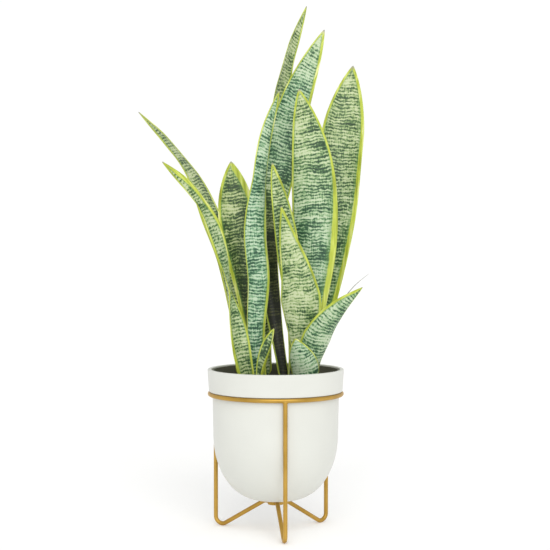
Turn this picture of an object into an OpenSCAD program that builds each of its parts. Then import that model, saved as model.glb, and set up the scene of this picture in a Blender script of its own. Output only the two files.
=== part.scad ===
// Faux snake plant in a white collared pot, held by a three-legged brass wire stand.
// +Z is up, -Y is the front, and the origin is on the floor at the middle of the three feet.
// Three bodies: the stand, the pot that hangs in its ring, and the planted liner in the pot.

/* [Pot] */
// Outer diameter of the rim
pot_d = 153; // [120:1:190]
// Height from the flat base to the rim
pot_h = 146; // [115:1:180]
// Height of the wider collar below the rim
collar_h = 25; // [15:0.5:35]
// How far the collar stands out past the body
collar_step = 4; // [3.5:0.5:8]
// How much the collar's radius shrinks from the rim down to its lower edge
collar_taper = 1.5; // [0:0.1:3]
// How much the body's radius shrinks from the collar down to the rounded belly
body_taper = 1; // [0:0.1:4]
// Height of the rounded belly
belly_h = 72; // [50:1:90]
// Diameter of the flat base
base_d = 40; // [30:1:60]
// Wall thickness of the pot
pot_wall = 3.5; // [2.5:0.1:5]
// Wall thickness of the collar at its lower edge
collar_wall = 3; // [2:0.1:4]
// Thickness of the ledge inside the collar that the liner hangs on
ledge_t = 3; // [2:0.1:5]
// Radius of the softened edges
edge_r = 1; // [0.4:0.1:1.4]

/* [Stand] */
// Diameter of the round rod
rod_d = 4.8; // [3.5:0.1:6]
// Height of the pot's base above the floor
base_lift = 36; // [28:1:60]
// Turn of the front leg from straight ahead, in degrees
stand_turn = 8; // [0:1:30]
// Centre line radius of the bend at each foot
foot_bend = 8; // [6:0.5:12]
// Centre line radius of the bend under the pot
brace_bend = 6; // [5:0.5:10]
// How much the rod's radius shrinks in its bends
bend_thin = 0.03; // [0.02:0.01:0.08]
// Diameter of the hub that joins the three braces
hub_d = 18; // [16:0.5:28]
// Metal above and below the braces in the hub
hub_wall = 0.6; // [0.4:0.1:2]
// Metal between the braces' ends in the hub
hub_core = 0.6; // [0.4:0.1:1.5]
// How far each brace runs level before it enters the hub
brace_run = 3; // [1:0.5:8]

/* [Liner] */
// Wall thickness of the liner
liner_wall = 1.8; // [1.2:0.1:3]
// How far the liner's rim sits below the pot's rim
liner_drop = 1.5; // [0.5:0.1:5]
// How much the liner's radius shrinks from its shelf down to its floor
liner_taper = 15; // [8:0.5:25]
// Height of the liner's floor above where the pot's belly grows too narrow for it
liner_clear = 14; // [3:0.5:20]
// Depth of the soil's top below the pot's rim
soil_drop = 16; // [8:0.5:20]
// Thickness of the layer of loose soil
soil_t = 6; // [3:0.5:12]
// Height of the cement ballast in the liner
ballast_h = 22; // [10:1:30]

/* [Leaves] */
// Height of the tallest leaf above the soil
plant_h = 432; // [340:1:520]
// Thickness of a leaf along its middle
leaf_t = 1.8; // [1.2:0.1:3]
// Diameter of the stem under each leaf
stem_d = 4.8; // [3:0.1:6]
// Depth that a stem goes below the soil's top
stem_depth = 28; // [15:1:40]

/* [Clearances] */
// Gap between pieces that lift apart
lift_gap = 0.3; // [0.3:0.05:0.6]
// Gap all round the pot inside the ring
ring_gap = 0.5; // [0.4:0.1:1.5]
// Gap between the hub and the pot's base
hub_gap = 0.5; // [0.3:0.1:3]
// Gap all round the liner inside the pot
liner_gap = 0.5; // [0.4:0.1:1]
// Gap all round the fillings inside the liner
fill_gap = 0.2; // [0.1:0.05:0.5]
// Gap all round a stem in its bore
stem_gap = 0.2; // [0.1:0.05:0.5]

/* [Hidden] */
$fn = 96;

// Finishes
brass_paint = "#C09A3E";
white_glaze = "#E8E7E1";
dark_plastic = "#3B3B36";
cement_grey = "#9A978F";
foam_green = "#5E6B45";
soil_brown = "#4A3828";
leaf_green = "#7FA382";

// Pot, from the floor up
rim_r = pot_d / 2;
rim_z = base_lift + pot_h;
collar_z = rim_z - collar_h;
collar_r = rim_r - collar_taper;
body_r = collar_r - collar_step;
belly_z = base_lift + belly_h;
belly_r = body_r - body_taper;
base_r = base_d / 2;
ledge_z = collar_z + ledge_t;
collar_bore = collar_r - collar_wall;
body_bore = body_r - pot_wall;

// Stand
rod_r = rod_d / 2;
ring_r = body_r + ring_gap + rod_r;
ring_z = collar_z - lift_gap - rod_r;
bend_r = rod_r - bend_thin;
// A bend starts this many degrees inside the straight rod
bend_lap = 1;
foot_u = ring_r - foot_bend;
foot_z = bend_r + foot_bend;
hub_r = hub_d / 2;
hub_t = rod_d + 2 * hub_wall;
hub_top = base_lift - hub_gap;
brace_top = hub_top - hub_t / 2;
hub_bore_end = rod_r / sin(60) + hub_core;
brace_u = hub_r + brace_run;
// A leg stops inside the ring's rod, and its end is cut to the rod's round underside
leg_top = ring_z - rod_r / 2;
// The brace is the straight line that touches both bends from inside
span_u = foot_u - brace_u;
span_z = brace_top - brace_bend - foot_z;
brace_slope = atan2(span_z, span_u) + asin((foot_bend + brace_bend) / norm([span_u, span_z]));

// Liner and its fillings
liner_top = rim_z - liner_drop;
liner_seat = ledge_z + lift_gap;
liner_lip_r = collar_bore - liner_gap;
lip_bore = liner_lip_r - liner_wall;
liner_neck_r = body_bore - liner_gap;
liner_foot_r = liner_neck_r - liner_taper;
liner_foot_z = belly_floor(liner_foot_r) + liner_clear;
liner_depth = liner_seat - liner_foot_z;
liner_floor_z = liner_foot_z + liner_wall;
soil_z = rim_z - soil_drop;
foam_z = soil_z - soil_t;
ballast_z = liner_floor_z + ballast_h;
shelf_z = liner_seat + liner_wall;
soil_r = soil_z > shelf_z ? lip_bore - fill_gap : neck_bore(soil_z) - fill_gap;

// Height of the inside of the belly at a radius
function belly_floor(r) =
    belly_z - (belly_h - pot_wall) * sqrt(1 - pow((r - base_r) / (belly_r - pot_wall - base_r), 2));

// Inside radius of the liner's tapered part at a height
function neck_bore(z) =
    liner_foot_r - liner_wall + (liner_neck_r - liner_foot_r) * (z - liner_foot_z) / liner_depth;

// Leaves. A leaf is [path, width, belly, foot, point, face, cup]: the path runs from the soil to the
// tip in [right, back, up] from the soil's centre, belly is where along it the leaf is widest, foot is
// the share of the width at its lower end, point is how blunt the tip is, face is the turn of its face
// from straight ahead along the path, and cup is the half angle of its curl at the base and the tip.
layout_r = 69.5;
layout_h = 432;
spread = soil_r / layout_r;
rise = plant_h / layout_h;
LEAF_ROWS = 22;
LEAF_COLS = 6;
// Rows stand closer together near the soil
row_bias = 1.3;
// Height over which a round stem turns into the blade
neck_h = 7;
tip_w = 1.4;
// How full the sides stay as they run up to the tip
tip_fill = 0.85;
// Share of its thickness that a leaf loses at its tip, and at its edges
tip_thin = 0.45;
edge_thin = 0.75;

front_stub = [[[33, -31, 1], [32, -34, 18], [26, -38, 35], [21, -42, 53]],
    38, 0.3, 0.85, 2, [0, -10], [-70, -45]];
front_curl = [[[-16, -38, 1], [-13, -40, 22], [-8, -43, 42], [-2, -46, 64]],
    22, 0.4, 0.8, 2.4, [-75, -40], [75, 60]];
right_low = [[[38, -19, 1], [39, -25, 30], [51, -33, 60], [70, -43, 86], [94, -50, 109]],
    39, 0.42, 0.6, 1.2, [5, 25], [-60, -55]];
mid_front = [[[27, -8, 1], [29, -11, 40], [29, -14, 80], [24, -17, 119], [14, -20, 159],
    [6, -22, 198]], 50, 0.48, 0.3, 1, [0, -5], [-60, -25]];
left_twist = [[[-31, -25, 1], [-40, -31, 46], [-50, -36, 92], [-57, -40, 138], [-72, -44, 182],
    [-95, -46, 217], [-123, -48, 245]], 27, 0.3, 0.75, 3.2, [10, 20, 55, 88, 68, 58, 66, 54, 50],
    [50, 30, 8, 20, 20]];
left_arch = [[[-36, 46, 1], [-39, 47, 64], [-51, 44, 129], [-70, 33, 183], [-91, 14, 233],
    [-120, -3, 271], [-152, -14, 302]], 30, 0.35, 0.7, 3.4, [-5, -15, -35, -60, -66], [50, 30, 20]];
left_upright = [[[-26, 18, 1], [-28, 20, 63], [-34, 22, 126], [-44, 25, 188], [-51, 28, 250]],
    47, 0.7, 0.2, 2.1, [0, 5], [60, 25]];
centre_left = [[[-17, -13, 1], [-21, -13, 59], [-18, -13, 116], [-21, -12, 169], [-16, -6, 226],
    [-9, 0, 279], [4, 8, 328]], 29, 0.42, 0.7, 2.4, [15, 10, 10, 22, 50, 42, 20], [-60, -40, -25]];
inner_slim = [[[21, -1, 1], [23, -1, 62], [19, -3, 123], [10, -8, 185], [-4, -13, 246]],
    30, 0.6, 0.5, 2.2, [20, 25], [-60, -30]];
centre_broad = [[[36, 8, 1], [42, 11, 84], [45, 11, 166], [41, 9, 249], [26, 7, 330]],
    56, 0.55, 0.3, 2.3, [0, 0], [-60, -22]];
centre_tall = [[[10, 28, 1], [-3, 32, 81], [-12, 34, 161], [3, 36, 242], [24, 39, 322],
    [56, 44, 402]], 43, 0.6, 0.32, 2.4, [0, 0], [60, 22]];
rear_tall = [[[-12, 52, 1], [-15, 54, 104], [-13, 56, 214], [2, 58, 324], [16, 59, 379],
    [36, 61, 432]], 33, 0.45, 0.5, 2.4, [30, 45, 63, 55], [60, 25]];
right_tall = [[[35, 30, 1], [58, 33, 91], [71, 36, 181], [76, 41, 271], [89, 46, 361]],
    52, 0.76, 0.35, 1.7, [0, -5], [60, 22]];
LEAVES = [front_stub, front_curl, right_low, mid_front, left_twist, left_arch, left_upright,
    centre_left, inner_slim, centre_broad, centre_tall, rear_tall, right_tall];

function smooth(x) = let (s = min(max(x, 0), 1)) s * s * (3 - 2 * s);

// Value at share t of a list of evenly spaced values
function ramp(v, t) = let (n = len(v) - 1, x = min(max(t, 0), 1) * n, i = min(floor(x), n - 1))
    v[i] + (v[i + 1] - v[i]) * (x - i);

// Point i of a path, with one mirrored point past each end
function path_point(p, i) = i < 0 ? 2 * p[0] - p[1]
    : i >= len(p) ? 2 * p[len(p) - 1] - p[len(p) - 2]
    : p[i];

// Smooth curve through the points of a path, at share t of it
function curve(p, t) = let (
        n = len(p) - 1,
        x = min(max(t, 0), 1) * n,
        i = min(floor(x), n - 1),
        f = x - i,
        a = path_point(p, i - 1),
        b = path_point(p, i),
        c = path_point(p, i + 1),
        d = path_point(p, i + 2))
    0.5 * (2 * b + (c - a) * f + (2 * a - 5 * b + 4 * c - d) * f * f + (3 * b - a - 3 * c + d) * f * f * f);

function unit(v) = v / norm(v);

// Share of the full width at share t of the leaf
function outline(t, belly, foot, point) = t < belly
    ? foot + (1 - foot) * smooth(t / belly)
    : pow(1 - pow((t - belly) / (1 - belly), point), tip_fill);

// A leaf's path in place above the soil
function placed(path) = [for (p = path) [p[0] * spread, p[1] * spread, soil_z + p[2] * rise]];

// One closed ring of points round a leaf: its face from edge to edge, then its back
function leaf_ring(centre, along, turn, w, t, curl, neck) = let (
        facing = [sin(turn), -cos(turn), 0],
        side = unit(cross(along, facing)),
        out = cross(side, along),
        bend = max(abs(curl), 1),
        bend_rad = bend * PI / 180,
        hand = curl < 0 ? -1 : 1)
    [for (back = [0, 1], j = [0:LEAF_COLS]) let (
            u = back == 0 ? -1 + 2 * j / LEAF_COLS : 1 - 2 * j / LEAF_COLS,
            half = (back == 0 ? 1 : -1) * t * sqrt(1 - edge_thin * u * u) / 2,
            blade = [w / 2 * sin(bend * u) / bend_rad - half * sin(hand * bend * u),
                hand * w / 2 * (1 - cos(bend * u)) / bend_rad + half * cos(hand * bend * u)],
            stem = stem_d / 2 * [sin(80 * u), (back == 0 ? 1 : -1) * cos(80 * u)],
            q = stem + (blade - stem) * neck)
        centre + side * q[0] + out * q[1]];

// The rings of a leaf: two down the stem, then the blade from the soil to the tip
function leaf_rings(leaf) = let (
        path = placed(leaf[0]),
        reach = norm(path[len(path) - 1] - path[0]),
        root = path[0],
        up = [0, 0, 1])
    [for (z = [soil_z - stem_depth, soil_z])
            leaf_ring([root[0], root[1], z], up, leaf[5][0], stem_d, stem_d, 1, 0),
        for (i = [0:LEAF_ROWS]) let (
            t = pow(i / LEAF_ROWS, row_bias),
            along = unit(curve(path, t + 0.004) - curve(path, t - 0.004)),
            w = max(leaf[1] * spread * outline(t, leaf[2], leaf[3], leaf[4]), tip_w))
            leaf_ring(curve(path, t), along, ramp(leaf[5], t), w,
                leaf_t * (1 - tip_thin * smooth(t)), ramp(leaf[6], t), smooth(t * reach / neck_h))];

// Pot outline: up the outside, over the rim and down the inside
function quarter(cx, cz, rx, rz, from, to, steps) =
    [for (i = [0:steps]) let (a = from + (to - from) * i / steps) [cx + rx * cos(a), cz + rz * sin(a)]];

pot_outline = concat(
    [[0, base_lift]],
    quarter(base_r, belly_z, belly_r - base_r, belly_h, 270, 360, 24),
    [[body_r, collar_z]],
    quarter(collar_r - edge_r, collar_z + edge_r, edge_r, edge_r, 270, 360, 4),
    quarter(rim_r - edge_r, rim_z - edge_r, edge_r, edge_r, 0, 90, 5),
    quarter(collar_bore + edge_r, rim_z - edge_r, edge_r, edge_r, 90, 180, 5),
    [[collar_bore, ledge_z], [body_bore, ledge_z]],
    quarter(base_r, belly_z, belly_r - pot_wall - base_r, belly_h - pot_wall, 360, 270, 24),
    [[0, base_lift + pot_wall]]);

liner_outline = [
    [0, liner_foot_z],
    [liner_foot_r, liner_foot_z],
    [liner_neck_r, liner_seat],
    [liner_lip_r, liner_seat],
    [liner_lip_r, liner_top],
    [lip_bore, liner_top],
    [lip_bore, shelf_z],
    [neck_bore(shelf_z), shelf_z],
    [neck_bore(liner_floor_z), liner_floor_z],
    [0, liner_floor_z]];

// Stands something up at the ring's radius, turned to a leg's place
module at_leg(turn) {
    rotate([0, 0, stand_turn + turn]) rotate([0, 0, -90]) rotate([90, 0, 0]) children();
}

// A bend of the rod in a leg's own plane, about [u, z]
module rod_bend(u, z, bend, from, turn) {
    translate([u, z, 0]) rotate([0, 0, from - bend_lap]) rotate_extrude(angle = turn + 2 * bend_lap)
        translate([bend, 0]) circle(r = bend_r, $fn = 48);
}

// A straight length of the rod in a leg's own plane, from one [u, z] to another
module rod_run(a, b) {
    step = b - a;
    translate([a[0], a[1], 0]) rotate([0, 0, atan2(step[1], step[0])]) rotate([0, 90, 0])
        cylinder(r = rod_r, h = norm(step), $fn = 48);
}

module ring_rod() {
    rotate_extrude() translate([ring_r, ring_z]) circle(r = rod_r, $fn = 48);
}

module support_ring() {
    color(brass_paint) ring_rod();
}

// One leg: upright, foot bend, brace, top bend and a short run into the hub
module leg(turn) {
    foot_end = [foot_u - foot_bend * sin(brace_slope), foot_z - foot_bend * cos(brace_slope)];
    brace_end = [brace_u + brace_bend * sin(brace_slope),
        brace_top - brace_bend + brace_bend * cos(brace_slope)];
    color(brass_paint) difference() {
        at_leg(turn) {
            rod_run([ring_r, foot_z], [ring_r, leg_top]);
            rod_bend(foot_u, foot_z, foot_bend, -90 - brace_slope, 90 + brace_slope);
            rod_run(foot_end, brace_end);
            rod_bend(brace_u, brace_top - brace_bend, brace_bend, 90 - brace_slope, brace_slope);
            rod_run([brace_u, brace_top], [hub_bore_end, brace_top]);
        }
        ring_rod();
    }
}

module leg_front() {
    leg(0);
}

module leg_rear_right() {
    leg(120);
}

module leg_rear_left() {
    leg(-120);
}

// Hub under the pot, with a blind bore for each brace
module centre_hub() {
    color(brass_paint) difference() {
        translate([0, 0, hub_top - hub_t]) cylinder(r = hub_r, h = hub_t);
        for (turn = [0, 120, -120]) at_leg(turn) rod_run([hub_bore_end, brace_top], [hub_d, brace_top]);
    }
}

module pot_shell() {
    color(white_glaze) rotate_extrude() polygon(pot_outline);
}

module liner_pot() {
    color(dark_plastic) rotate_extrude() polygon(liner_outline);
}

// The side of a filling between two heights: along the liner's taper, and past its shelf along its lip
function filling_side(low, high) = concat(
    low < shelf_z
        ? [for (z = [low, min(high, shelf_z)]) [neck_bore(z) - fill_gap, z]]
        : [],
    high > shelf_z
        ? [for (z = [max(low, shelf_z), high]) [lip_bore - fill_gap, z]]
        : []);

// A filling of the liner between two heights
module filling(low, high) {
    rotate_extrude() polygon(concat([[0, low]], filling_side(low, high), [[0, high]]));
}

// The bore of each leaf's stem, from a height up past the soil
module stem_bores(low) {
    for (leaf = LEAVES) translate([leaf[0][0][0] * spread, leaf[0][0][1] * spread, low])
        cylinder(d = stem_d + 2 * stem_gap, h = soil_z + soil_t - low, $fn = 32);
}

module ballast_plug() {
    color(cement_grey) filling(liner_floor_z, ballast_z);
}

module foam_block() {
    color(foam_green) difference() {
        filling(ballast_z, foam_z);
        stem_bores(soil_z - stem_depth - 1);
    }
}

module soil_cover() {
    color(soil_brown) difference() {
        filling(foam_z, soil_z);
        stem_bores(foam_z - soil_t);
    }
}

// A leaf of thin moulded plastic on its stem
module leaf(shape) {
    rings = leaf_rings(shape);
    count = len(rings);
    around = 2 * (LEAF_COLS + 1);
    points = [for (ring = rings, p = ring) p];
    skin = [for (i = [0:count - 2], j = [0:around - 1]) let (
            a = i * around + j,
            b = i * around + (j + 1) % around,
            c = b + around,
            d = a + around)
        each [[a, b, c], [a, c, d]]];
    caps = [for (end = [0, count - 1], j = [0:LEAF_COLS - 1]) let (
            a = end * around + j,
            b = a + 1,
            c = end * around + around - 2 - j,
            d = c + 1)
        each end == 0 ? [[a, d, c], [a, c, b]] : [[a, b, c], [a, c, d]]];
    color(leaf_green) polyhedron(points = points, faces = concat(skin, caps), convexity = 6);
}

module leaf_front_stub() {
    leaf(front_stub);
}

module leaf_front_curl() {
    leaf(front_curl);
}

module leaf_right_low() {
    leaf(right_low);
}

module leaf_mid_front() {
    leaf(mid_front);
}

module leaf_left_twist() {
    leaf(left_twist);
}

module leaf_left_arch() {
    leaf(left_arch);
}

module leaf_left_upright() {
    leaf(left_upright);
}

module leaf_centre_left() {
    leaf(centre_left);
}

module leaf_inner_slim() {
    leaf(inner_slim);
}

module leaf_centre_broad() {
    leaf(centre_broad);
}

module leaf_centre_tall() {
    leaf(centre_tall);
}

module leaf_rear_tall() {
    leaf(rear_tall);
}

module leaf_right_tall() {
    leaf(right_tall);
}

support_ring();
leg_front();
leg_rear_right();
leg_rear_left();
centre_hub();
pot_shell();
liner_pot();
ballast_plug();
foam_block();
soil_cover();
leaf_front_stub();
leaf_front_curl();
leaf_right_low();
leaf_mid_front();
leaf_left_twist();
leaf_left_arch();
leaf_left_upright();
leaf_centre_left();
leaf_inner_slim();
leaf_centre_broad();
leaf_centre_tall();
leaf_rear_tall();
leaf_right_tall();
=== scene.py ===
import math
import random

import bmesh
import bpy
from mathutils import Matrix, Vector, noise


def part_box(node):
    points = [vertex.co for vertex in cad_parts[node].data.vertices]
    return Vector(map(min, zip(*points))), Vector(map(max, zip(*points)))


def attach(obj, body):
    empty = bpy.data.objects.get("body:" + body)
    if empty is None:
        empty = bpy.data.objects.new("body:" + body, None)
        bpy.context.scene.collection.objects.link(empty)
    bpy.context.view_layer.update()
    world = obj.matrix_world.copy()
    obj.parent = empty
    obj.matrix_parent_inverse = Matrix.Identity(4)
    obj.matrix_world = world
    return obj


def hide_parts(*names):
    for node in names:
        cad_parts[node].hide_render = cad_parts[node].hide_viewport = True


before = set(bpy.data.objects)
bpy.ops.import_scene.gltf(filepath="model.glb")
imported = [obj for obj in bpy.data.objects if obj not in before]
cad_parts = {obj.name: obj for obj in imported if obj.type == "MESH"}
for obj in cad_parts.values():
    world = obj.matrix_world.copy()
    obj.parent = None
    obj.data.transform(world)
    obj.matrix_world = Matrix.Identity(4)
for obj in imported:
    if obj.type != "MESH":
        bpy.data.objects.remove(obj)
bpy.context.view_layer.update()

MM = 0.001
bpy.context.scene.view_settings.view_transform = "Standard"


# Camera: a standing product view, level with the middle of the plant and a little above it.
camera_data = bpy.data.cameras.new("camera")
camera_data.lens = 86.5
camera_data.sensor_width = 36.0
camera = bpy.data.objects.new("camera", camera_data)
camera.location = (0.0, -1.480, 0.323)
aim_point = Vector((-0.0008, 0.0, 0.287))
camera.rotation_euler = (aim_point - camera.location).to_track_quat("-Z", "Y").to_euler()
bpy.context.scene.collection.objects.link(camera)
bpy.context.scene.camera = camera


# Wire stand: 4.8 mm steel rod, one ring and three bent legs, welded and then coated in satin brass.
# The coat is even and a little rough, so it gives broad warm highlights and no sharp mirror.
def linear(hex_colour):
    """A material colour from its sRGB hex value."""
    channels = [int(hex_colour[i:i + 2], 16) / 255 for i in (1, 3, 5)]
    return [c / 12.92 if c <= 0.04045 else ((c + 0.055) / 1.055) ** 2.4 for c in channels] + [1.0]


def add_node(tree, kind, **given):
    """Adds one node. Names in small letters are its own settings, and steps fill a colour ramp. Names
    with a capital are its inputs, or _0, _1 and so on, and take a number, a hex colour or an output."""
    node = tree.nodes.new(kind)
    for name, value in given.items():
        if name == "steps":
            points = node.color_ramp.elements
            while len(points) < len(value):
                points.new(0.5)
            for point, (place, colour) in zip(points, value):
                point.position = place
                point.color = linear(colour)
        elif name[0].islower():
            setattr(node, name, value)
        else:
            socket = node.inputs[int(name[1:]) if name[0] == "_" else name.replace("_", " ")]
            if isinstance(value, bpy.types.NodeSocket):
                tree.links.new(value, socket)
            else:
                socket.default_value = linear(value) if isinstance(value, str) else value
    return node


def new_material(name):
    """An empty material and its node tree."""
    material = bpy.data.materials.new(name)
    material.use_nodes = True
    material.node_tree.nodes.clear()
    return material, material.node_tree


def finish_node(name, material):
    """Gives a piece of the frame its material."""
    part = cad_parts[name]
    part.data.materials.clear()
    part.data.materials.append(material)


# Satin brass coating on steel, brushed on by plating and lacquer: clouds of tone about 22 mm across
# and a fine grain of 0.7 mm, drawn coarser than the real one so that it shows
brass, tree = new_material("satin_brass_coating")
where = add_node(tree, "ShaderNodeTexCoord").outputs["Object"]
clouds = add_node(tree, "ShaderNodeTexNoise", Vector=where, Scale=1 / (22 * MM), Detail=3.0).outputs["Fac"]
grain = add_node(tree, "ShaderNodeTexNoise", Vector=where, Scale=1 / (0.7 * MM), Detail=2.0).outputs["Fac"]
brass_tone = add_node(tree, "ShaderNodeValToRGB", Fac=clouds, steps=[(0.3, "#AE8839"), (0.7, "#C39C4A")])
brass_gloss = add_node(tree, "ShaderNodeMapRange", Value=grain, To_Min=0.34, To_Max=0.46)
bump = add_node(tree, "ShaderNodeBump", Strength=0.12, Distance=0.15 * MM, Height=grain)
shader = add_node(tree, "ShaderNodeBsdfPrincipled", Base_Color=brass_tone.outputs["Color"], Metallic=0.78,
                  Roughness=brass_gloss.outputs["Result"], Normal=bump.outputs["Normal"])
add_node(tree, "ShaderNodeOutputMaterial", Surface=shader.outputs["BSDF"])
for name in ("support_ring", "leg_front", "leg_rear_right", "leg_rear_left", "centre_hub"):
    finish_node(name, brass)


# Weld beads: a small ground-down bead of filler where each leg meets the ring and each brace meets
# the hub, lumpy under the same satin brass coating.
STAND_TURN = 8.0
BEAD_LUMPS = 0.12
BEAD_UP = 0.9 * MM
RING_BEAD = {"spread": 3.4, "depth": 2.35, "rise": 2.6}
HUB_BEAD = {"spread": 3.1, "depth": 1.6, "rise": 2.8}
ring_low, ring_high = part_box("support_ring")
hub_low, hub_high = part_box("centre_hub")
ring_r = ring_high.x - (ring_high.z - ring_low.z) / 2


def weld_bead(mesh, turn, radius, height, spread, depth, rise):
    """One lumpy bead: spread is along the ring, depth is out from it and rise is upright, in mm."""
    made = bmesh.ops.create_icosphere(mesh, subdivisions=3, radius=1.0)["verts"]
    for vert in made:
        vert.co *= 1 + BEAD_LUMPS * noise.noise(vert.co * 2.5 + Vector((turn, radius * 900, 0)))
    bmesh.ops.scale(mesh, vec=(spread * MM, depth * MM, rise * MM), verts=made)
    bmesh.ops.translate(mesh, vec=(0, -radius, height), verts=made)
    bmesh.ops.rotate(mesh, cent=(0, 0, 0), verts=made,
                     matrix=Matrix.Rotation(math.radians(STAND_TURN + turn), 3, "Z"))


def finished_piece(name, mesh, material, body):
    """Makes a mesh into a smooth-shaded piece that rides on a body."""
    bmesh.ops.recalc_face_normals(mesh, faces=mesh.faces)
    data = bpy.data.meshes.new(name)
    mesh.to_mesh(data)
    mesh.free()
    data.polygons.foreach_set("use_smooth", [True] * len(data.polygons))
    data.materials.append(material)
    piece = bpy.data.objects.new(name, data)
    bpy.context.scene.collection.objects.link(piece)
    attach(piece, body)
    return piece


mesh = bmesh.new()
for turn in (0, 120, -120):
    weld_bead(mesh, turn, ring_r, ring_low.z + BEAD_UP, **RING_BEAD)
    weld_bead(mesh, turn, hub_high.x, (hub_low.z + hub_high.z) / 2, **HUB_BEAD)
finished_piece("weld_beads", mesh, brass, "stand")


# Pot: one thin-walled shell with a wider collar, warm white under a smooth satin glaze.
# The glaze drifts a little in tone over 70 mm and has a faint orange peel of 2.4 mm, which softens
# the edges of its highlights.
glaze, tree = new_material("warm_white_satin_glaze")
where = add_node(tree, "ShaderNodeTexCoord").outputs["Object"]
drift = add_node(tree, "ShaderNodeTexNoise", Vector=where, Scale=1 / (70 * MM), Detail=2.0).outputs["Fac"]
peel = add_node(tree, "ShaderNodeTexNoise", Vector=where, Scale=1 / (2.4 * MM), Detail=2.0).outputs["Fac"]
glaze_tone = add_node(tree, "ShaderNodeValToRGB", Fac=drift, steps=[(0.3, "#D2D3CC"), (0.7, "#D7D8D1")])
glaze_gloss = add_node(tree, "ShaderNodeMapRange", Value=drift, To_Min=0.34, To_Max=0.44)
bump = add_node(tree, "ShaderNodeBump", Strength=0.08, Distance=0.2 * MM, Height=peel)
shader = add_node(tree, "ShaderNodeBsdfPrincipled", Base_Color=glaze_tone.outputs["Color"],
                  Roughness=glaze_gloss.outputs["Result"], Normal=bump.outputs["Normal"])
add_node(tree, "ShaderNodeOutputMaterial", Surface=shader.outputs["BSDF"])
finish_node("pot_shell", glaze)


# Liner: the thin dark grow pot that the plant stands in, hung on the ledge inside the collar.
# Moulded polypropylene, matt, with the 1.1 mm frosting of its mould.
frosted_plastic, tree = new_material("frosted_polypropylene")
where = add_node(tree, "ShaderNodeTexCoord").outputs["Object"]
frost = add_node(tree, "ShaderNodeTexNoise", Vector=where, Scale=1 / (1.1 * MM), Detail=2.0).outputs["Fac"]
frost_tone = add_node(tree, "ShaderNodeValToRGB", Fac=frost, steps=[(0.3, "#5C5B4D"), (0.7, "#6B6A5B")])
bump = add_node(tree, "ShaderNodeBump", Strength=0.25, Distance=0.2 * MM, Height=frost)
shader = add_node(tree, "ShaderNodeBsdfPrincipled", Base_Color=frost_tone.outputs["Color"], Roughness=0.62,
                  Normal=bump.outputs["Normal"])
add_node(tree, "ShaderNodeOutputMaterial", Surface=shader.outputs["BSDF"])
finish_node("liner_pot", frosted_plastic)


# Ballast: a plug of cement cast in the liner's bottom, which keeps the tall light plant from tipping.
# It is grey and matt, with sand of 1.7 mm in its skin.
cement, tree = new_material("cast_cement")
where = add_node(tree, "ShaderNodeTexCoord").outputs["Object"]
sand = add_node(tree, "ShaderNodeTexNoise", Vector=where, Scale=1 / (1.7 * MM), Detail=4.0,
                Roughness=0.7).outputs["Fac"]
cement_tone = add_node(tree, "ShaderNodeValToRGB", Fac=sand, steps=[(0.3, "#837F77"), (0.7, "#A9A69D")])
bump = add_node(tree, "ShaderNodeBump", Strength=0.5, Distance=0.4 * MM, Height=sand)
shader = add_node(tree, "ShaderNodeBsdfPrincipled", Base_Color=cement_tone.outputs["Color"], Roughness=0.9,
                  Normal=bump.outputs["Normal"])
add_node(tree, "ShaderNodeOutputMaterial", Surface=shader.outputs["BSDF"])
finish_node("ballast_plug", cement)


# Foam: a block of stiff floral foam, cut to the liner, that the stems are pushed into.
# It is dull green with open cells of 0.8 mm.
foam, tree = new_material("floral_foam")
where = add_node(tree, "ShaderNodeTexCoord").outputs["Object"]
cells = add_node(tree, "ShaderNodeTexVoronoi", Vector=where, Scale=1 / (0.8 * MM)).outputs["Distance"]
foam_tone = add_node(tree, "ShaderNodeValToRGB", Fac=cells, steps=[(0.1, "#3F5230"), (0.8, "#64774A")])
bump = add_node(tree, "ShaderNodeBump", Strength=0.6, Distance=0.3 * MM, Height=cells)
shader = add_node(tree, "ShaderNodeBsdfPrincipled", Base_Color=foam_tone.outputs["Color"], Roughness=0.95,
                  Normal=bump.outputs["Normal"])
add_node(tree, "ShaderNodeOutputMaterial", Surface=shader.outputs["BSDF"])
finish_node("foam_block", foam)


# Soil: a bed of dark potting soil over the foam, uneven on top, with loose crumbs and bark chips.
# It is matt and nearly black-brown, with grains of 2.2 mm and damp patches of 16 mm. Its relief is
# a height, and how many lumps of that height lie in a metre.
SOIL_STEPS = 30
SOIL_TURNS = 120
SOIL_SINK = 0.6 * MM
SOIL_RELIEF = ((1.4 * MM, 90), (0.8 * MM, 330))
CRUMBS = 620
CRUMB_R = (0.6, 1.7)
CRUMB_LUMPS = 0.35
CRUMB_UP = 0.3
CHIP_EVERY = 9
CHIP_SIZE = 1.5
RIM_CLEAR = 3 * MM
soil_low, soil_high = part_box("soil_cover")
soil_r = soil_high.x
soil, tree = new_material("potting_soil")
where = add_node(tree, "ShaderNodeTexCoord").outputs["Object"]
grains = add_node(tree, "ShaderNodeTexNoise", Vector=where, Scale=1 / (2.2 * MM), Detail=6.0,
                  Roughness=0.7).outputs["Fac"]
damp = add_node(tree, "ShaderNodeTexNoise", Vector=where, Scale=1 / (16 * MM), Detail=2.0).outputs["Fac"]
earth = add_node(tree, "ShaderNodeMath", operation="MULTIPLY", _0=grains, _1=damp)
soil_tone = add_node(tree, "ShaderNodeValToRGB", Fac=earth.outputs[0],
                     steps=[(0.15, "#20180F"), (0.28, "#3B2C1E"), (0.42, "#5E4A35")])
bump = add_node(tree, "ShaderNodeBump", Strength=0.8, Distance=0.8 * MM, Height=grains)
shader = add_node(tree, "ShaderNodeBsdfPrincipled", Base_Color=soil_tone.outputs["Color"], Roughness=0.95,
                  Normal=bump.outputs["Normal"])
add_node(tree, "ShaderNodeOutputMaterial", Surface=shader.outputs["BSDF"])

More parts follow.
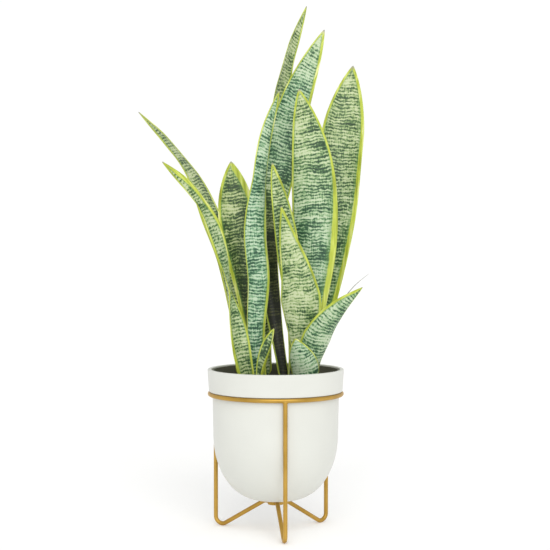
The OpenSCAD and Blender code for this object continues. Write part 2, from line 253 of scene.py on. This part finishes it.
mesh = bmesh.new()
profile = [mesh.verts.new((soil_r * i / SOIL_STEPS, 0, soil_high.z - SOIL_SINK))
           for i in range(SOIL_STEPS + 1)]
profile += [mesh.verts.new((soil_r, 0, soil_low.z)), mesh.verts.new((0, 0, soil_low.z))]
edges = [mesh.edges.new(pair) for pair in zip(profile, profile[1:])]
bmesh.ops.spin(mesh, geom=profile + edges, cent=(0, 0, 0), axis=(0, 0, 1), angle=math.tau,
               steps=SOIL_TURNS, use_merge=True)
bmesh.ops.remove_doubles(mesh, verts=mesh.verts, dist=0.05 * MM)
for vert in mesh.verts:
    if vert.co.z > soil_low.z + MM and vert.co.xy.length < soil_r - MM:
        vert.co.z += sum(height * noise.noise(vert.co * count) for height, count in SOIL_RELIEF)
soil_bed = finished_piece("soil_bed", mesh, soil, "insert")
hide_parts("soil_cover")

mesh = bmesh.new()
chance = random.Random(7)
for index in range(CRUMBS):
    size = chance.uniform(*CRUMB_R) * MM * (CHIP_SIZE if index % CHIP_EVERY == 0 else 1.0)
    crumb = bmesh.ops.create_icosphere(mesh, subdivisions=1, radius=size)["verts"]
    for vert in crumb:
        vert.co *= 1 + CRUMB_LUMPS * noise.noise(vert.co * 900 + Vector((index, 0, 0)))
    bmesh.ops.scale(mesh, vec=(chance.uniform(0.8, 1.7), 1.0, chance.uniform(0.5, 0.9)), verts=crumb)
    bmesh.ops.rotate(mesh, cent=(0, 0, 0), matrix=Matrix.Rotation(chance.uniform(0, math.tau), 3, "Z"),
                     verts=crumb)
    out = (soil_r - RIM_CLEAR) * math.sqrt(chance.random())
    angle = chance.uniform(0, math.tau)
    place = (out * math.cos(angle), out * math.sin(angle), soil_high.z + size * CRUMB_UP)
    bmesh.ops.translate(mesh, vec=place, verts=crumb)
finished_piece("soil_crumbs", mesh, soil, "insert")


# Leaves: thirteen leaves of thin moulded plastic, printed with dark wavy bars on grey green and edged
# in yellow green. Each is cupped along its length and narrows to a round stem pushed into the foam.
# Its margins wave by a 26th of its width, and each radian of the wave takes 17 mm.
SOIL_TOP = soil_high.z / MM
STEM_R = 2.4
STEM_DEPTH = 28.0
LEAF_THICK = 1.8
NECK_H = 7.0
PATH_START = 1
NECK_DROP = 1.5
TIP_W = 1.2
TIP_THINNER = 0.45
SIDES_THINNER = 0.75
BLUNTNESS = 0.85
STEM_ARC = math.radians(80)
LEAST_CURL = math.radians(1.0)
WAVE_DIVISOR = 26
WAVE_RADIAN = 17
LEAF_ROWS = 84
LEAF_COLS = 14
ROW_CROWDING = 1.2
SLOPE_STEP = 0.004


def smooth(x):
    """A share from 0 to 1, eased at both ends."""
    x = min(max(x, 0.0), 1.0)
    return x * x * (3.0 - 2.0 * x)


def ramp_value(values, share):
    """Value at a share of the way along evenly spaced values."""
    place = min(max(share, 0.0), 1.0) * (len(values) - 1)
    i = min(int(place), len(values) - 2)
    return values[i] + (values[i + 1] - values[i]) * (place - i)


def curve_point(path, share):
    """A point of the smooth curve through a path's points."""
    points = [2 * path[0] - path[1]] + path + [2 * path[-1] - path[-2]]
    place = min(max(share, 0.0), 1.0) * (len(path) - 1)
    i = min(int(place), len(path) - 2)
    f = place - i
    a, b, c, d = points[i:i + 4]
    return 0.5 * (2 * b + (c - a) * f + (2 * a - 5 * b + 4 * c - d) * f ** 2
                  + (3 * b - a - 3 * c + d) * f ** 3)


def outline(share, belly, foot, point):
    """Share of the leaf's full width at a share of its length."""
    if share < belly:
        return foot + (1 - foot) * smooth(share / belly)
    return (1 - ((share - belly) / (1 - belly)) ** point) ** BLUNTNESS


def places_round(centre, along, turn, width, thick, curl, neck, waves):
    """Points round a leaf, face then back, each with its place across the leaf from -1 to 1."""
    facing = Vector((math.sin(turn), -math.cos(turn), 0.0))
    side = along.cross(facing).normalized()
    out = side.cross(along)
    bend = max(abs(curl), LEAST_CURL)
    hand = -1.0 if curl < 0 else 1.0
    places = []
    for front in (1, -1):
        for j in range(LEAF_COLS + 1):
            u = (-1 + 2 * j / LEAF_COLS) * front
            half = front * thick * math.sqrt(1 - SIDES_THINNER * u * u) / 2
            x = width / 2 * math.sin(bend * u) / bend - half * math.sin(hand * bend * u)
            y = hand * width / 2 * (1 - math.cos(bend * u)) / bend + half * math.cos(bend * u)
            y += waves[0 if u < 0 else 1] * abs(u) ** 3
            stem = Vector((math.sin(STEM_ARC * u), front * math.cos(STEM_ARC * u))) * STEM_R
            place = stem + (Vector((x, y)) - stem) * neck
            places.append((centre + side * place.x + out * place.y, u))
    return places


def next_ring(mesh, ring):
    """Extrudes a ring of edges once and gives the new ring in the same order."""
    edges = [mesh.edges.get((ring[j - 1], ring[j])) for j in range(len(ring))]
    grown = bmesh.ops.extrude_edge_only(mesh, edges=edges)["geom"]
    fresh = {item for item in grown if isinstance(item, bmesh.types.BMVert)}
    return [next(e.other_vert(v) for e in v.link_edges if e.other_vert(v) in fresh) for v in ring]


def make_leaf(name, path, width, belly, foot, point, face, cup, edge, tone, ink, seed):
    """Grows a leaf ring by ring from the end of its stem. Every point keeps its place on the print in
    millimetres, and how many edge widths it is from the margin, its tone and its share of ink. A tone
    above 1 turns the colour towards painted shade."""
    path = [Vector((x, y, SOIL_TOP + z)) for x, y, z in path]
    reach = (path[-1] - path[0]).length
    up = Vector((0, 0, 1))
    rows = [(0.0, path[0] - up * drop, up, 0.0) for drop in (PATH_START + STEM_DEPTH, NECK_DROP)]
    for i in range(LEAF_ROWS + 1):
        share = (i / LEAF_ROWS) ** ROW_CROWDING
        along = curve_point(path, share + SLOPE_STEP) - curve_point(path, share - SLOPE_STEP)
        along.normalize()
        rows.append((share, curve_point(path, share), along, smooth(share * reach / NECK_H)))
    mesh = bmesh.new()
    blade = mesh.verts.layers.float_vector.new("blade")
    look = mesh.verts.layers.float_vector.new("look")
    share_up = mesh.verts.layers.float.new("share_up")
    ring = bmesh.ops.create_circle(mesh, segments=2 * (LEAF_COLS + 1), radius=1.0)["verts"]
    length = 0.0
    for index, (share, centre, along, neck) in enumerate(rows):
        if index:
            ring = next_ring(mesh, ring)
            length += (centre - rows[index - 1][1]).length
        full = max(width * outline(share, belly, foot, point), TIP_W)
        waves = [full / WAVE_DIVISOR * math.sin(share * reach / WAVE_RADIAN + seed * 1.7 + s * 2.1)
                 * math.sin(math.pi * share) for s in (0, 1)]
        places = places_round(centre, along, math.radians(ramp_value(face, share)), full,
                              LEAF_THICK * (1 - TIP_THINNER * smooth(share)),
                              math.radians(ramp_value(cup, share)), neck, waves)
        for vert, (place, u) in zip(ring, places):
            vert.co = place * MM
            rim = (1 - abs(u)) * full / 2 / ramp_value(edge[0 if u < 0 else 1], share)
            vert[blade] = (u * full / 2, length, seed * 37.0)
            vert[look] = (rim, ramp_value(tone, share), ramp_value(ink, share))
            vert[share_up] = share
        if index == 0:
            bmesh.ops.contextual_create(mesh, geom=ring)
    bmesh.ops.contextual_create(mesh, geom=ring)
    leaf = finished_piece(name + "_blade", mesh, leaf_print, "insert")
    rounding = leaf.modifiers.new("rounding", "SUBSURF")
    rounding.levels = rounding.render_levels = 1
    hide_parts(name)


# Moulded polyethylene, screen printed: bars 3.8 mm apart wander across the leaf and break into dashes
# of 4.5 mm, over clouds of 24 mm. The plastic is bare where the ink is under 0.27, and the bars are
# darkest over 0.75.
BAR_STEP = 3.8
INK_SHIFT = -1.03
leaf_print, tree = new_material("printed_leaf_plastic")
print_place = add_node(tree, "ShaderNodeAttribute", attribute_name="blade").outputs["Vector"]
look_place = add_node(tree, "ShaderNodeAttribute", attribute_name="look").outputs["Vector"]
height_share = add_node(tree, "ShaderNodeAttribute", attribute_name="share_up").outputs["Fac"]
on_print = add_node(tree, "ShaderNodeSeparateXYZ", Vector=print_place).outputs
on_look = add_node(tree, "ShaderNodeSeparateXYZ", Vector=look_place).outputs
slow = add_node(tree, "ShaderNodeMapping", Vector=print_place, Scale=(1 / 17, 1 / 30, 1))
slow_sway = add_node(tree, "ShaderNodeTexNoise", Vector=slow.outputs[0], Scale=1.0, Detail=2.0)
quick = add_node(tree, "ShaderNodeMapping", Vector=print_place, Scale=(1 / 3.2, 1 / 5, 1))
quick_sway = add_node(tree, "ShaderNodeTexNoise", Vector=quick.outputs[0], Scale=1.0, Detail=2.0)
sway = add_node(tree, "ShaderNodeMath", operation="MULTIPLY_ADD", _0=slow_sway.outputs["Fac"], _1=9.0,
                _2=on_print["Y"])
sway = add_node(tree, "ShaderNodeMath", operation="MULTIPLY_ADD", _0=quick_sway.outputs["Fac"], _1=2.2,
                _2=sway.outputs[0])
swayed = add_node(tree, "ShaderNodeCombineXYZ", X=on_print["X"], Y=sway.outputs[0], Z=on_print["Z"])
bar_angle = add_node(tree, "ShaderNodeMath", operation="MULTIPLY", _0=sway.outputs[0], _1=math.tau / BAR_STEP)
bars = add_node(tree, "ShaderNodeMath", operation="SINE", _0=bar_angle.outputs[0])
dash_place = add_node(tree, "ShaderNodeMapping", Vector=swayed.outputs[0], Scale=(1 / 4.5, 1 / 1.5, 1))
dashes = add_node(tree, "ShaderNodeTexNoise", Vector=dash_place.outputs[0], Scale=1.0, Detail=3.0,
                  Roughness=0.65)
band_place = add_node(tree, "ShaderNodeMapping", Vector=swayed.outputs[0], Scale=(1 / 40, 1 / 9, 1))
bands = add_node(tree, "ShaderNodeTexNoise", Vector=band_place.outputs[0], Scale=1.0, Detail=2.0)
cloud_place = add_node(tree, "ShaderNodeMapping", Vector=print_place, Scale=(1 / 24, 1 / 20, 1))
leaf_clouds = add_node(tree, "ShaderNodeTexNoise", Vector=cloud_place.outputs[0], Scale=1.0, Detail=3.0)
ribs_place = add_node(tree, "ShaderNodeMapping", Vector=print_place, Scale=(1 / 1.3, 1 / 9, 1))
ribs = add_node(tree, "ShaderNodeTexNoise", Vector=ribs_place.outputs[0], Scale=1.0, Detail=2.0)
ink = add_node(tree, "ShaderNodeMath", operation="ADD", _0=on_look["Z"], _1=INK_SHIFT)
for part, weight in ((bars, 0.12), (dashes, 1.0), (bands, 0.7), (leaf_clouds, 0.75), (ribs, 0.6)):
    ink = add_node(tree, "ShaderNodeMath", operation="MULTIPLY_ADD", _0=part.outputs[0], _1=weight,
                   _2=ink.outputs[0])
cool = add_node(tree, "ShaderNodeValToRGB", Fac=ink.outputs[0],
                steps=[(0.27, "#BBCFB6"), (0.41, "#9DBC9A"), (0.51, "#6C9E78"), (0.59, "#356447"),
                       (0.75, "#1D4634")])
warm = add_node(tree, "ShaderNodeValToRGB", Fac=ink.outputs[0],
                steps=[(0.27, "#C2CA9C"), (0.41, "#A8B77A"), (0.51, "#7B9453"), (0.59, "#425E2E"),
                       (0.75, "#284120")])
# Painted shade: where a leaf's tone runs from 1 to 2, its colour turns to this dark olive palette. The
# palette stands in for the shadow on the low parts of the leaves at the back of the clump.
painted_shade = add_node(tree, "ShaderNodeValToRGB", Fac=ink.outputs[0],
                  steps=[(0.30, "#585A33"), (0.52, "#353821"), (0.70, "#1E2114")])
face_colour = add_node(tree, "ShaderNodeMix", data_type="RGBA", _0=on_look["Y"], _6=cool.outputs["Color"],
                       _7=warm.outputs["Color"])
painted_shade_share = add_node(tree, "ShaderNodeMath", operation="SUBTRACT", _0=on_look["Y"], _1=1.0)
face_colour = add_node(tree, "ShaderNodeMix", data_type="RGBA", _0=painted_shade_share.outputs[0],
                       _6=face_colour.outputs[2], _7=painted_shade.outputs["Color"])

# The edge is a dipped colour with a ragged inner line, a darker green thread inside it and streaks of
# olive and straw along it
ragged_place = add_node(tree, "ShaderNodeMapping", Vector=print_place, Scale=(1 / 2.5, 1 / 7, 1))
ragged = add_node(tree, "ShaderNodeTexNoise", Vector=ragged_place.outputs[0], Scale=1.0, Detail=2.0)
from_edge = add_node(tree, "ShaderNodeMath", operation="MULTIPLY_ADD", _0=ragged.outputs["Fac"], _1=0.35,
                     _2=on_look["X"])
thread_share = add_node(tree, "ShaderNodeMapRange", interpolation_type="SMOOTHSTEP", To_Max=0.55,
                        Value=from_edge.outputs[0], From_Min=1.87, From_Max=1.28)
edged = add_node(tree, "ShaderNodeMix", data_type="RGBA", _0=thread_share.outputs["Result"],
                 _6=face_colour.outputs[2], _7="#5F8A45")
streak_place = add_node(tree, "ShaderNodeMapping", Vector=print_place, Scale=(1 / 4, 1 / 38, 1))
streaks = add_node(tree, "ShaderNodeTexNoise", Vector=streak_place.outputs[0], Scale=1.0, Detail=3.0)
edge_colour = add_node(tree, "ShaderNodeValToRGB", Fac=streaks.outputs["Fac"],
                       steps=[(0.30, "#8C9626"), (0.44, "#A9B638"), (0.56, "#BECB4E"), (0.68, "#DCDE92")])
edge_share = add_node(tree, "ShaderNodeMapRange", interpolation_type="SMOOTHSTEP",
                      Value=from_edge.outputs[0], From_Min=1.26, From_Max=1.06)
edged = add_node(tree, "ShaderNodeMix", data_type="RGBA", _0=edge_share.outputs["Result"],
                 _6=edged.outputs[2], _7=edge_colour.outputs["Color"])
tip_share = add_node(tree, "ShaderNodeMapRange", Value=height_share, From_Min=0.985, From_Max=0.999)
skin = add_node(tree, "ShaderNodeMix", data_type="RGBA", _0=tip_share.outputs["Result"],
                _6=edged.outputs[2], _7="#9A9784")
waxy = add_node(tree, "ShaderNodeMapRange", Value=leaf_clouds.outputs["Fac"], To_Min=0.36, To_Max=0.5)
relief = add_node(tree, "ShaderNodeMath", operation="MULTIPLY_ADD", _0=ribs.outputs["Fac"], _1=0.6,
                  _2=dashes.outputs["Fac"])
bump = add_node(tree, "ShaderNodeBump", Strength=0.3, Distance=0.3 * MM, Height=relief.outputs[0])
shader = add_node(tree, "ShaderNodeBsdfPrincipled", Base_Color=skin.outputs[2], Normal=bump.outputs["Normal"],
                  Roughness=waxy.outputs["Result"])
add_node(tree, "ShaderNodeOutputMaterial", Surface=shader.outputs["BSDF"])

# Short leaves at the front and right
make_leaf("leaf_front_stub", [(33, -31, 1), (32, -34, 18), (26, -38, 35), (21, -42, 53)], 38, 0.3, 0.85, 2,
          (0, -10), (-70, -45), ((2.4, 2.4), (1.8, 2)), (0.3, 0.25), (-0.08, -0.18), 1)
make_leaf("leaf_front_curl", [(-16, -38, 1), (-13, -40, 22), (-8, -43, 42), (-2, -46, 64)], 22, 0.4, 0.8,
          2.4, (-75, -40), (75, 60), ((1.6, 1.6), (5, 3.5)), (0.8, 0.8), (0.1, 0.06), 2)
make_leaf("leaf_right_low", [(38, -19, 1), (39, -25, 30), (51, -33, 60), (70, -43, 86), (94, -50, 109)], 39,
          0.42, 0.6, 1.2, (5, 25), (-60, -55), ((3.2, 3), (1.4, 1.4)), (0.35, 0.4), (0, -0.02), 3)
make_leaf("leaf_mid_front", [(27, -8, 1), (29, -11, 40), (29, -14, 80), (24, -17, 119), (14, -20, 159),
          (6, -22, 198)], 50, 0.48, 0.3, 1, (0, -5), (-60, -25), ((2.2, 2.2), (5.5, 3.4, 3)), (0.85, 0.8),
          (0, -0.07, -0.09), 4)

# Leaves that lean and arch to the left
make_leaf("leaf_left_twist", [(-31, -25, 1), (-40, -31, 46), (-50, -36, 92), (-57, -40, 138),
          (-72, -44, 182), (-95, -46, 217), (-123, -48, 245)], 27, 0.3, 0.75, 3.2,
          (10, 20, 55, 88, 68, 58, 66, 54, 50), (50, 30, 8, 20, 20), ((4, 2.8, 2.4, 2), (2.4, 2, 4, 6.5)),
          (0.9, 0.6, 0.95), (0, -0.04, -0.04), 5)
make_leaf("leaf_left_arch", [(-36, 46, 1), (-39, 47, 64), (-51, 44, 129), (-70, 33, 183), (-91, 14, 233),
          (-120, -3, 271), (-152, -14, 302)], 30, 0.35, 0.7, 3.4, (-5, -15, -35, -60, -66), (50, 30, 20),
          ((2.2, 2.4, 3), (2.2, 2.4, 5)), (0.8, 0.9, 0.9), (0.04, 0, -0.06), 6)
# Painted shade: tone 2 and extra ink at this leaf's foot darken its low part, which stands in shadow behind
# the twisted leaf.
make_leaf("leaf_left_upright", [(-26, 18, 1), (-28, 20, 63), (-34, 22, 126), (-44, 25, 188),
          (-51, 28, 250)], 47, 0.7, 0.2, 2.1, (0, 5), (60, 25), ((4.5, 4.5, 3.2), (4.5, 4.5, 7.5)),
          (2, 2, 1.25, 1, 1), (0.25, 0.2, 0.08, 0.05, 0.04), 7)

# Tall leaves in the middle, at the back and at the right
make_leaf("leaf_centre_left", [(-17, -13, 1), (-21, -13, 59), (-18, -13, 116), (-21, -12, 169),
          (-16, -6, 226), (-9, 0, 279), (4, 8, 328)], 29, 0.42, 0.7, 2.4, (15, 10, 10, 22, 50, 42, 20),
          (-60, -40, -25), ((1.6, 1.4, 1.4), (4.6, 4.6, 2)), (0.1, 0.1, 0.3), (0.04, 0, -0.04), 8)
# Painted shade: tone 2 at this leaf's foot darkens its base, which stands in shadow among the inner leaves.
make_leaf("leaf_inner_slim", [(21, -1, 1), (23, -1, 62), (19, -3, 123), (10, -8, 185), (-4, -13, 246)], 30,
          0.6, 0.5, 2.2, (20, 25), (-60, -30), ((1.6, 1.6), (4.2, 3.6)), (2, 1.2, 0.8, 0.9),
          (0.1, 0.05, 0.02, 0), 9)
make_leaf("leaf_centre_broad", [(36, 8, 1), (42, 11, 84), (45, 11, 166), (41, 9, 249), (26, 7, 330)], 56,
          0.55, 0.3, 2.3, (0, 0), (-60, -22), ((2.6, 2.6, 2.6), (6, 8.5, 9.5, 3, 2.6)), (0.25, 0.3, 0.95),
          (0.05, 0.03, 0, -0.05), 10)
# Painted shade: tone near 2 and extra ink over the lower half of this leaf paint the shadow it stands in
# behind the front leaves, on its face and back alike.
make_leaf("leaf_centre_tall", [(10, 28, 1), (-3, 32, 81), (-12, 34, 161), (3, 36, 242), (24, 39, 322),
          (56, 44, 402)], 43, 0.6, 0.32, 2.4, (0, 0), (60, 22), ((1.6, 1.6), (0.4, 0.4, 1.6, 3.4, 3)),
          (2, 2, 1.8, 0.3, 0.2, 0.6), (0.14, 0.16, 0.1, 0.03, -0.02, -0.12), 11)
make_leaf("leaf_rear_tall", [(-12, 52, 1), (-15, 54, 104), (-13, 56, 214), (2, 58, 324), (16, 59, 379),
          (36, 61, 432)], 33, 0.45, 0.5, 2.4, (30, 45, 63, 55), (60, 25), ((1.6, 2), (1.8, 2)), (0.9, 0.9),
          (0.02, -0.02, -0.08), 12)
make_leaf("leaf_right_tall", [(35, 30, 1), (58, 33, 91), (71, 36, 181), (76, 41, 271), (89, 46, 361)], 52,
          0.76, 0.35, 1.7, (0, -5), (60, 22), ((4, 3.4, 2.6), (6.5, 6, 3.2)), (0.6, 0.7, 0.9),
          (0.07, 0.03, -0.02), 13)


# Bristle: one stray strand of grey plastic thread that has frayed from the low right leaf's edge.
# It is 1.2 mm thick at its root and 0.4 mm at its end, and its tone changes every 1.1 mm.
THREAD_SIDES = 8
THREAD_ROWS = 16
THREAD_R = 0.6
THREAD_TAPER = 0.4
THREAD_PATH = [Vector(place) for place in ((78, -46, 268), (86, -47, 277), (94, -48, 284), (101, -48, 289.5))]
thread, tree = new_material("grey_plastic_thread")
where = add_node(tree, "ShaderNodeTexCoord").outputs["Object"]
fray = add_node(tree, "ShaderNodeTexNoise", Vector=where, Scale=1 / (1.1 * MM), Detail=2.0).outputs["Fac"]
thread_tone = add_node(tree, "ShaderNodeValToRGB", Fac=fray, steps=[(0.3, "#8E8E86"), (0.7, "#B4B4AC")])
shader = add_node(tree, "ShaderNodeBsdfPrincipled", Base_Color=thread_tone.outputs["Color"], Roughness=0.5)
add_node(tree, "ShaderNodeOutputMaterial", Surface=shader.outputs["BSDF"])

mesh = bmesh.new()
ring = bmesh.ops.create_circle(mesh, segments=THREAD_SIDES, radius=1.0)["verts"]
for index in range(THREAD_ROWS + 1):
    share = index / THREAD_ROWS
    centre = curve_point(THREAD_PATH, share)
    along = (curve_point(THREAD_PATH, share + 0.01) - curve_point(THREAD_PATH, share - 0.01)).normalized()
    side = along.cross(Vector((0, -1, 0))).normalized()
    out = side.cross(along)
    if index:
        ring = next_ring(mesh, ring)
    for j, vert in enumerate(ring):
        angle = math.tau * j / THREAD_SIDES
        spoke = side * math.cos(angle) + out * math.sin(angle)
        vert.co = (centre + spoke * (THREAD_R - THREAD_TAPER * share)) * MM
    if index == 0:
        bmesh.ops.contextual_create(mesh, geom=ring)
bmesh.ops.contextual_create(mesh, geom=ring)
finished_piece("leaf_bristle", mesh, thread, "insert")


# Studio: a white paper floor lit a little from below, a surround that is white near the horizon and a
# little dimmer overhead, and one broad soft light from the front and above.
mesh = bmesh.new()
bmesh.ops.create_grid(mesh, x_segments=1, y_segments=1, size=30.0)
floor_data = bpy.data.meshes.new("studio_floor")
mesh.to_mesh(floor_data)
mesh.free()
studio_floor = bpy.data.objects.new("studio_floor", floor_data)
bpy.context.scene.collection.objects.link(studio_floor)
paper, tree = new_material("white_studio_paper")
where = add_node(tree, "ShaderNodeTexCoord").outputs["Object"]
fibres = add_node(tree, "ShaderNodeTexNoise", Vector=where, Scale=3.0, Detail=2.0).outputs["Fac"]
paper_tone = add_node(tree, "ShaderNodeValToRGB", Fac=fibres, steps=[(0.3, "#F8F8F7"), (0.7, "#FBFBFA")])
shader = add_node(tree, "ShaderNodeBsdfPrincipled", Base_Color=paper_tone.outputs["Color"], Roughness=0.9,
                  Emission_Color="#FFFFFF", Emission_Strength=0.08)
add_node(tree, "ShaderNodeOutputMaterial", Surface=shader.outputs["BSDF"])
floor_data.materials.append(paper)

world = bpy.data.worlds.new("studio")
world.use_nodes = True
tree = world.node_tree
tree.nodes.clear()
direction = add_node(tree, "ShaderNodeTexCoord").outputs["Generated"]
toward = add_node(tree, "ShaderNodeSeparateXYZ", Vector=direction).outputs
overhead = add_node(tree, "ShaderNodeMapRange", Value=toward["Z"], From_Min=0.19, From_Max=0.28, To_Min=1.02,
                    To_Max=0.77)
surround = add_node(tree, "ShaderNodeBackground", Color="#FFFFFF", Strength=overhead.outputs["Result"])
add_node(tree, "ShaderNodeOutputWorld", Surface=surround.outputs[0])
bpy.context.scene.world = world

broad_light = bpy.data.lights.new("broad_light", "SUN")
broad_light.energy = 1.4
broad_light.angle = math.radians(50)
light = bpy.data.objects.new("broad_light", broad_light)
light.rotation_euler = Vector((-0.1, 0.82, -0.56)).to_track_quat("-Z", "Y").to_euler()
bpy.context.scene.collection.objects.link(light)
